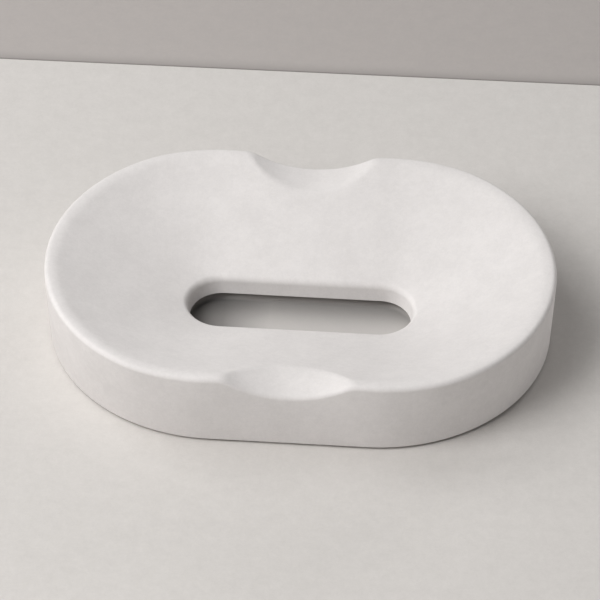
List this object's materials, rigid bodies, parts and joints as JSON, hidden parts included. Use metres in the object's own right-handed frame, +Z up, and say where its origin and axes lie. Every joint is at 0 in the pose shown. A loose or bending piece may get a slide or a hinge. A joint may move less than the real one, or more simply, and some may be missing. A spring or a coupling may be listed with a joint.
{
  "type": "soap dish",
  "caption": "Oval cast soap dish with a sloping bowl, a drain slot through its middle and a thumb scoop in each long side, standing on soft feet.",
  "frame": {"origin": "on the table, under the middle of the dish", "axes": "+X along the length to the right, +Y across the dish to the back, +Z up"},
  "size_m": [0.13, 0.0884, 0.0211],
  "materials": {
    "cast_stone": "matte cast mineral, warm off-white, very fine grain",
    "soft_rubber": "soft translucent grey, matte"
  },
  "bodies": {
    "root": {"dish_body": "cast_stone", "foot_front_left": "soft_rubber", "foot_front_right": "soft_rubber", "foot_back_left": "soft_rubber", "foot_back_right": "soft_rubber"}
  },
  "joints": []
}
